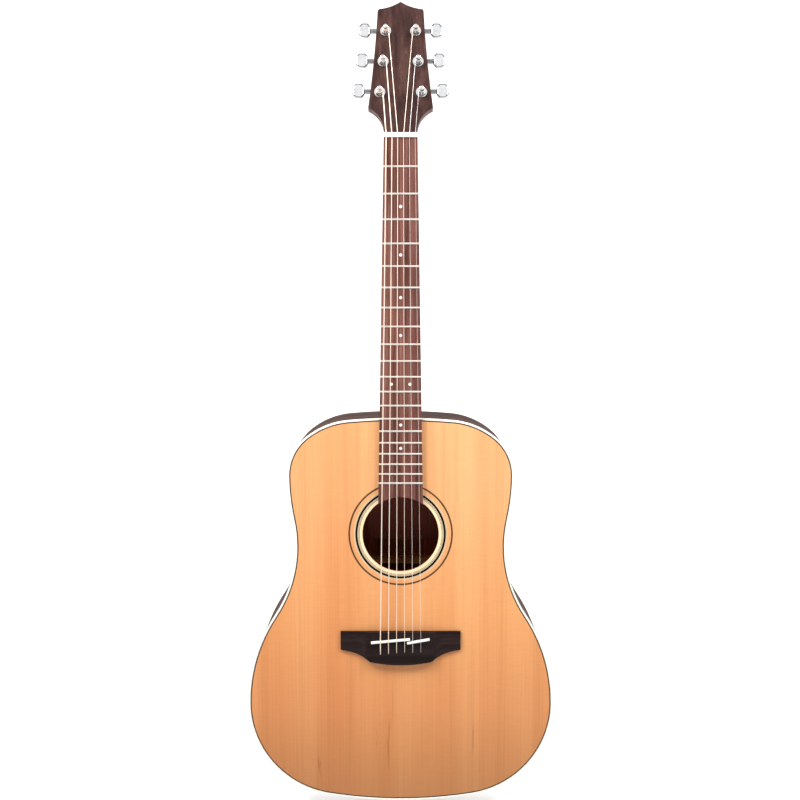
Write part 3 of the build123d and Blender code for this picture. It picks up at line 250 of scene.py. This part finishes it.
def rosette_dark():
    """Black fibre rings; the outermost one is brown with a tan core."""
    p = Painter("rosette_fibre")
    low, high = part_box("rosette_dark_rings")
    split = p.node("ShaderNodeSeparateXYZ")
    p.link(p.coords, split.inputs[0])
    across = p.math("MULTIPLY", split.outputs[0], split.outputs[0])
    rise = p.math("SUBTRACT", split.outputs[2], (low.z + high.z) / 2)
    radius = p.math("SQRT", p.math("MULTIPLY_ADD", rise, rise, across))
    outermost = p.math("GREATER_THAN", radius, high.x - 3.0 * MM)
    core = p.math("COMPARE", radius, high.x - 1.1 * MM, 0.35 * MM)
    dust = p.noise((700, 700, 700), detail=3)
    black = p.ramp(dust, (0.35, (0.004, 0.002, 0.001)), (0.65, (0.010, 0.005, 0.003)))
    brown = p.ramp(dust, (0.35, (0.018, 0.010, 0.006)), (0.65, (0.030, 0.016, 0.009)))
    tan = p.ramp(dust, (0.35, (0.12, 0.060, 0.030)), (0.65, (0.17, 0.090, 0.045)))
    colour = p.mix(outermost, black, p.mix(core, brown, tan))
    p.bump(dust, 0.1, 0.00003)
    return p.finish(colour, p.ramp(dust, (0.3, 0.56), (0.7, 0.48)), Specular_IOR_Level=0.12)


def metal(name, light, shade, roughness, scratch=(1800, 1800, 90), bump=0.06, metallic=1.0):
    """Plated or drawn metal with fine scratches and handling marks."""
    p = Painter(name)
    smudges = p.noise((160, 160, 160), detail=4, warp=0.4)
    hairlines = p.noise(scratch, detail=2)
    colour = p.ramp(smudges, (0.32, shade), (0.62, light))
    rough = p.ramp(smudges, (0.3, roughness * 1.7), (0.68, roughness))
    p.bump(hairlines, bump, 0.00003)
    return p.finish(colour, rough, Metallic=metallic)


def wound_wire():
    """Bronze-wound string: fine turns of wrap wire along its length."""
    p = Painter("bronze_winding")
    split = p.node("ShaderNodeSeparateXYZ")
    p.link(p.coords, split.inputs[0])
    turns = p.math("SINE", p.math("MULTIPLY", split.outputs[2], 2 * math.pi / (0.42 * MM)))
    ridge = p.math("MULTIPLY_ADD", turns, 0.5, 0.5)
    tarnish = p.noise((300, 300, 14), detail=4)
    tone = p.ramp(tarnish, (0.3, (0.96, 0.74, 0.58)), (0.7, (1.0, 0.89, 0.76)))
    # Painted shade: the colour is darkened in the grooves between the turns of wrap wire.
    colour = p.mix(0.3, tone, p.ramp(ridge, (0.0, 0.5), (0.5, 1.0)), "MULTIPLY")
    p.bump(ridge, 0.5, 0.00006)
    return p.finish(colour, p.ramp(tarnish, (0.3, 0.40), (0.7, 0.28)), Metallic=0.4)


def paper(low, high):
    """Brown paper label with a plain printed border and no writing."""
    p = Painter("label_paper")
    split = p.node("ShaderNodeSeparateXYZ")
    p.link(p.coords, split.inputs[0])
    across = p.math("SUBTRACT", high.x, p.math("ABSOLUTE", split.outputs[0]))
    middle = (low.z + high.z) / 2
    half = (high.z - low.z) / 2
    offset = p.math("ABSOLUTE", p.math("SUBTRACT", split.outputs[2], middle))
    inside = p.math("MINIMUM", across, p.math("SUBTRACT", half, offset))
    line = p.math("COMPARE", inside, 4.0 * MM, 0.5 * MM)
    fibres = p.noise((500, 500, 500), detail=5)
    sheet = p.ramp(fibres, (0.3, (0.25, 0.045, 0.024)), (0.7, (0.32, 0.062, 0.034)))
    p.bump(fibres, 0.2, 0.00005)
    return p.finish(p.mix(line, sheet, (0.22, 0.12, 0.08)), 0.7)


def floor_paint():
    """White seamless paper, with its own light behind the guitar and far from it."""
    p = Painter("studio_paper")
    split = p.node("ShaderNodeSeparateXYZ")
    p.link(p.coords, split.inputs[0])
    behind = p.node("ShaderNodeMapRange")
    p.feed(behind, {"Value": split.outputs[1], "From Min": -0.12, "From Max": 0.0, "To Max": 0.86})
    forward = p.math("ADD", split.outputs[1], 0.4)
    across = p.math("MULTIPLY", split.outputs[0], split.outputs[0])
    distance = p.math("SQRT", p.math("MULTIPLY_ADD", forward, forward, across))
    far = p.node("ShaderNodeMapRange", interpolation_type="SMOOTHSTEP")
    p.feed(far, {"Value": distance, "From Min": 0.25, "From Max": 1.2, "To Max": 0.62})
    glow = p.math("MAXIMUM", behind.outputs[0], far.outputs[0])
    p.feed(p.shader, {"Emission Color": (1.0, 1.0, 1.0, 1), "Emission Strength": glow})
    cloud = p.noise((0.8, 0.8, 0.8), detail=3)
    white = p.ramp(cloud, (0.3, (0.80, 0.80, 0.80)), (0.7, (0.83, 0.83, 0.83)))
    return p.finish(white, 0.85, Specular_IOR_Level=0.1)


CEDAR = cedar()
FRETBOARD = brown_wood(
    "fretboard_rosewood", (0.046, 0.015, 0.011), (0.150, 0.056, 0.042), (0.290, 0.135, 0.105), 1.7, 0.5, 0.15
)
BRIDGE = brown_wood(
    "bridge_rosewood",
    (0.006, 0.0032, 0.0032),
    (0.013, 0.0070, 0.0068),
    (0.028, 0.016, 0.015),
    roughness=0.46,
    sheen=0.10,
    along="X",
)
VENEER = brown_wood(
    "head_rosewood", (0.020, 0.007, 0.006), (0.042, 0.017, 0.014), (0.080, 0.036, 0.028), 1.6, 0.42, 0.12
)
BACK_MAHOGANY = brown_wood(
    "back_mahogany",
    (0.034, 0.012, 0.008),
    (0.066, 0.024, 0.016),
    (0.105, 0.041, 0.027),
    roughness=0.5,
    sheen=0.2,
    raw_inside=True,
)
# Painted shade: the sides use a copy of the back's mahogany at about 0.7 of its brightness, offsetting the
# strong lamp light on the rim.
MAHOGANY = brown_wood(
    "side_mahogany_painted_darker",
    (0.024, 0.008, 0.005),
    (0.047, 0.016, 0.010),
    (0.078, 0.028, 0.017),
    roughness=0.55,
    sheen=0.03,
    along="rim",
)
NECK_WOOD = brown_wood(
    "neck_mahogany", (0.070, 0.026, 0.014), (0.120, 0.048, 0.027), (0.170, 0.075, 0.045), 1.2, 0.45, 0.25
)
INNER_WOOD = brown_wood(
    "raw_mahogany", (0.12, 0.035, 0.016), (0.19, 0.060, 0.028), (0.26, 0.095, 0.048), 1.0, 0.62, 0.2
)
LINING_WOOD = brown_wood(
    "dark_lining", (0.040, 0.012, 0.007), (0.070, 0.022, 0.012), (0.105, 0.038, 0.022), 1.0, 0.6, 0.2
)
BACK_BRACE_WOOD = brown_wood(
    "back_brace_cedar", (0.46, 0.17, 0.045), (0.62, 0.25, 0.075), (0.74, 0.34, 0.12), 1.0, 0.6, 0.2, "X"
)
SPRUCE = pale_wood()
IVORY = plastic("ivory_binding", (0.92, 0.87, 0.78), (0.85, 0.79, 0.68), 0.28)
BONE = plastic("bone_white", (0.92, 0.90, 0.84), (0.82, 0.78, 0.69), 0.30, mottle=700)
PEARL = plastic("pearl_dot", (0.86, 0.88, 0.88), (0.62, 0.66, 0.70), 0.18, mottle=900)
ROSETTE_LIGHT = plastic("rosette_maple", (0.92, 0.72, 0.46), (0.82, 0.60, 0.36), 0.36, mottle=60)
ROSETTE_DARK = rosette_dark()
BLACK = plastic("black_fibre", (0.010, 0.005, 0.003), (0.004, 0.002, 0.001), 0.5, sheen=0.12)
PURFLING = plastic("purfling_fibre", (0.050, 0.030, 0.020), (0.022, 0.013, 0.008), 0.40)
CHROME = metal("chrome_plate", (0.82, 0.83, 0.84), (0.70, 0.71, 0.73), 0.07)
# Painted shade: the tuner housings and worms use a darker copy of the chrome plate in place of the dark
# reflections that bright plate would need.
DARKENED_CAST_CHROME = metal("satin_castings_painted_dark_chrome", (0.46, 0.46, 0.47), (0.34, 0.34, 0.35), 0.20)
STEEL = metal("drawn_steel", (0.66, 0.66, 0.67), (0.48, 0.48, 0.49), 0.26)
PLAIN_WIRE = metal("plain_steel_wire", (0.99, 0.95, 0.92), (0.90, 0.85, 0.81), 0.26, metallic=0.5)
NICKEL = metal(
    "fret_nickel", (0.78, 0.72, 0.66), (0.62, 0.57, 0.52), 0.26, scratch=(60, 1600, 1600), metallic=0.5
)
WINDING = wound_wire()
LABEL = paper(*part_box("label"))

FINISHES = {
    "soundboard": CEDAR,
    "fretboard": FRETBOARD,
    "bridge": BRIDGE,
    "head_veneer": VENEER,
    "heel_cap": BRIDGE,
    "neck": NECK_WOOD,
    "side_bass": MAHOGANY,
    "side_treble": MAHOGANY,
    "back_plate": BACK_MAHOGANY,
    "linings": LINING_WOOD,
    "neck_block": INNER_WOOD,
    "tail_block": INNER_WOOD,
    "x_braces": SPRUCE,
    "tone_bars": SPRUCE,
    "transverse_brace": SPRUCE,
    "back_braces": BACK_BRACE_WOOD,
    "back_strip": INNER_WOOD,
    "bridge_plate": INNER_WOOD,
    "top_binding": IVORY,
    "back_binding": BLACK,
    "purfling": PURFLING,
    "rosette_dark_rings": ROSETTE_DARK,
    "rosette_light_rings": ROSETTE_LIGHT,
    "nut": BONE,
    "saddle_bass": BONE,
    "saddle_treble": BONE,
    "position_dots": PEARL,
    "frets": NICKEL,
    "label": LABEL,
    "truss_rod": STEEL,
    "truss_rod_nut": STEEL,
    "tuner_housings": DARKENED_CAST_CHROME,
    "tuner_bushings": CHROME,
    "tuner_screws": STEEL,
    "strap_button": CHROME,
    "strap_button_screw": STEEL,
}
for name in STRINGS:
    FINISHES[f"string_{name}"] = WINDING if name in WOUND else PLAIN_WIRE
    FINISHES[f"tuner_{name}_button"] = CHROME
    FINISHES[f"tuner_{name}_post"] = CHROME
    FINISHES[f"tuner_{name}_worm"] = DARKENED_CAST_CHROME

for name, material in FINISHES.items():
    nodes[name].material_slots[0].material = material


# ---- String windings on the posts ----

POST_TILT = math.radians(14)
POST_AXIS = Vector((0, -math.cos(POST_TILT), math.sin(POST_TILT)))
UP_HEAD = Vector((0, math.sin(POST_TILT), math.cos(POST_TILT)))
POST_RADIUS = 3.25 * MM
WRAP_RISE = 8.5 * MM
HOLE_RISE = 11.0 * MM
WRAP_PITCH = 1.06
STEPS_PER_TURN = 24
TAIL_IN = 1.5 * MM
TAIL_OUT = 4.5 * MM


def wind_string(name, gauge):
    """Turns of string round a post, from the straight run up to the hole and through it."""
    end_low, end_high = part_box(f"string_{name}")
    side = -1 if end_low.x + end_high.x < 0 else 1
    joint = next(j for j in frame["joints"] if j["child"] == f"tuner_{name}_post")
    foot = Vector(joint["pos_m"])
    radius = POST_RADIUS + gauge / 2
    turns = max(1, int((HOLE_RISE - WRAP_RISE) / (gauge * WRAP_PITCH)))
    steps = turns * STEPS_PER_TURN
    start_angle = 0.0 if side < 0 else math.pi
    spin = 1 if side < 0 else -1
    points = []
    for step in range(steps + 1):
        share = step / steps
        angle = start_angle + spin * share * turns * 2 * math.pi
        rise = WRAP_RISE + share * (HOLE_RISE - WRAP_RISE)
        out = Vector((math.cos(angle), 0, 0)) + UP_HEAD * math.sin(angle)
        points.append(foot + POST_AXIS * rise + out * radius)
    through = Vector((math.cos(start_angle), 0, 0))
    top = foot + POST_AXIS * HOLE_RISE
    points += [top + through * TAIL_IN, top - through * TAIL_OUT]
    curve = bpy.data.curves.new(f"winding_{name}", "CURVE")
    curve.dimensions = "3D"
    curve.bevel_depth = gauge / 2
    curve.bevel_resolution = 3
    curve.use_fill_caps = True
    spline = curve.splines.new("POLY")
    spline.points.add(len(points) - 1)
    for target, point in zip(spline.points, points):
        target.co = (*point, 1)
    winding = bpy.data.objects.new(f"winding_{name}", curve)
    bpy.context.scene.collection.objects.link(winding)
    curve.materials.append(WINDING if name in WOUND else PLAIN_WIRE)
    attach(winding, f"tuner_{name}_post")


for name, gauge_mm in zip(STRINGS, GAUGES_MM):
    wind_string(name, gauge_mm * MM)


# ---- Rounded edges ----


def soften(name, width, wanted=None, segments=3):
    """A copy of a CAD piece with its sharp edges rounded, shown in place of the CAD node."""
    source = nodes[name]
    mesh = source.data.copy()
    work = bmesh.new()
    work.from_mesh(mesh)
    bmesh.ops.remove_doubles(work, verts=work.verts, dist=0.002 * MM)
    bmesh.ops.dissolve_limit(
        work, angle_limit=math.radians(0.4), use_dissolve_boundaries=False,
        verts=work.verts, edges=work.edges, delimit={"NORMAL"},
    )
    sharp = [
        edge
        for edge in work.edges
        if len(edge.link_faces) == 2
        and edge.calc_face_angle(0) > math.radians(38)
        and (wanted is None or wanted(edge))
    ]
    bmesh.ops.bevel(
        work, geom=sharp, offset=width, offset_type="OFFSET", segments=segments,
        profile=0.5, affect="EDGES", clamp_overlap=True,
    )
    work.normal_update()
    work.to_mesh(mesh)
    work.free()
    mesh.polygons.foreach_set("use_smooth", [True] * len(mesh.polygons))
    mesh.set_sharp_from_angle(angle=math.radians(32))
    piece = bpy.data.objects.new(f"{name}_softened", mesh)
    bpy.context.scene.collection.objects.link(piece)
    piece.modifiers.new("even_shading", "WEIGHTED_NORMAL").keep_sharp = True
    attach(piece, "guitar")
    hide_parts(name)
    return piece


def outer_front_edge(edge):
    """True for the front edge of the binding that faces away from the body's middle."""
    middle = (edge.verts[0].co + edge.verts[1].co) / 2
    if middle.y > BODY_LOW.y + 0.05 * MM:
        return False
    away = Vector((middle.x - BODY_MIDDLE.x, 0, middle.z - BODY_MIDDLE.z))
    return any(face.normal.dot(away) > 0.2 * away.length for face in edge.link_faces)


SOFTENED = (
    ("nut", 0.3 * MM),
    ("bridge", 0.45 * MM),
    ("head_veneer", 0.35 * MM),
    ("heel_cap", 0.5 * MM),
    ("fretboard", 0.35 * MM),
    ("saddle_bass", 0.25 * MM),
    ("saddle_treble", 0.25 * MM),
)
for name, width in SOFTENED:
    soften(name, width)
soften("top_binding", 1.1 * MM, wanted=outer_front_edge, segments=4)


# ---- Studio ----


PAPER_FRONT = -7.0
PAPER_BACK = 1.6
PAPER_BEND = 1.2
PAPER_HEIGHT = 7.0
PAPER_HALF_WIDTH = 8.0
BEND_STEPS = 12


def make_backdrop():
    """Seamless white paper: a floor that curves up into a wall behind the guitar."""
    profile = [(PAPER_FRONT, 0.0), (PAPER_BACK, 0.0)]
    for step in range(1, BEND_STEPS + 1):
        angle = math.radians(90 * step / BEND_STEPS)
        reach = PAPER_BACK + PAPER_BEND * math.sin(angle)
        profile.append((reach, PAPER_BEND * (1 - math.cos(angle))))
    profile.append((PAPER_BACK + PAPER_BEND, PAPER_HEIGHT))
    verts = [(side * PAPER_HALF_WIDTH, y, z) for y, z in profile for side in (-1, 1)]
    faces = [(2 * i, 2 * i + 1, 2 * i + 3, 2 * i + 2) for i in range(len(profile) - 1)]
    mesh = bpy.data.meshes.new("paper_backdrop")
    mesh.from_pydata(verts, [], faces)
    mesh.polygons.foreach_set("use_smooth", [True] * len(faces))
    backdrop = bpy.data.objects.new("paper_backdrop", mesh)
    bpy.context.scene.collection.objects.link(backdrop)
    mesh.materials.append(floor_paint())


def add_light(name, place, target, size, power, spread):
    """Soft area light aimed at a point."""
    data = bpy.data.lights.new(name, "AREA")
    data.shape = "RECTANGLE"
    data.size, data.size_y = size
    data.energy = power
    data.spread = math.radians(spread)
    lamp = bpy.data.objects.new(name, data)
    bpy.context.scene.collection.objects.link(lamp)
    lamp.location = place
    lamp.rotation_euler = (Vector(target) - Vector(place)).to_track_quat("-Z", "Y").to_euler()


def make_world():
    """Surroundings that look white but light the guitar dimly, so that soft lights shape the metal."""
    world = bpy.data.worlds.new("studio")
    bpy.context.scene.world = world
    world.use_nodes = True
    tree = world.node_tree
    background = tree.nodes["Background"]
    background.inputs["Color"].default_value = (1.0, 1.0, 1.0, 1)
    seen = tree.nodes.new("ShaderNodeLightPath")
    strength = tree.nodes.new("ShaderNodeMapRange")
    strength.inputs["To Min"].default_value = 0.20
    strength.inputs["To Max"].default_value = 0.92
    tree.links.new(seen.outputs["Is Camera Ray"], strength.inputs["Value"])
    tree.links.new(strength.outputs[0], background.inputs["Strength"])


def make_camera():
    """Camera in front of the upper body, tipped slightly down."""
    data = bpy.data.cameras.new("camera")
    data.sensor_width = 36
    data.lens = 49.13
    data.clip_start = 0.05
    camera = bpy.data.objects.new("camera", data)
    bpy.context.scene.collection.objects.link(camera)
    camera.location = (-0.0008, -1.4618, 0.6793)
    camera.rotation_euler = (math.radians(90 - 5.14), 0, 0)
    bpy.context.scene.camera = camera


make_backdrop()
make_world()
make_camera()
add_light("key_left", (-0.95, -0.85, 1.80), (0, 0, 0.78), (1.0, 0.8), 11, 80)
add_light("key_right", (0.95, -0.85, 1.80), (0, 0, 0.78), (0.9, 0.7), 7.5, 80)
add_light("reflector_card", (0, -2.2, 2.55), (0, 0, 0.95), (1.6, 1.0), 4.4, 180)
bpy.context.scene.view_settings.view_transform = "Standard"
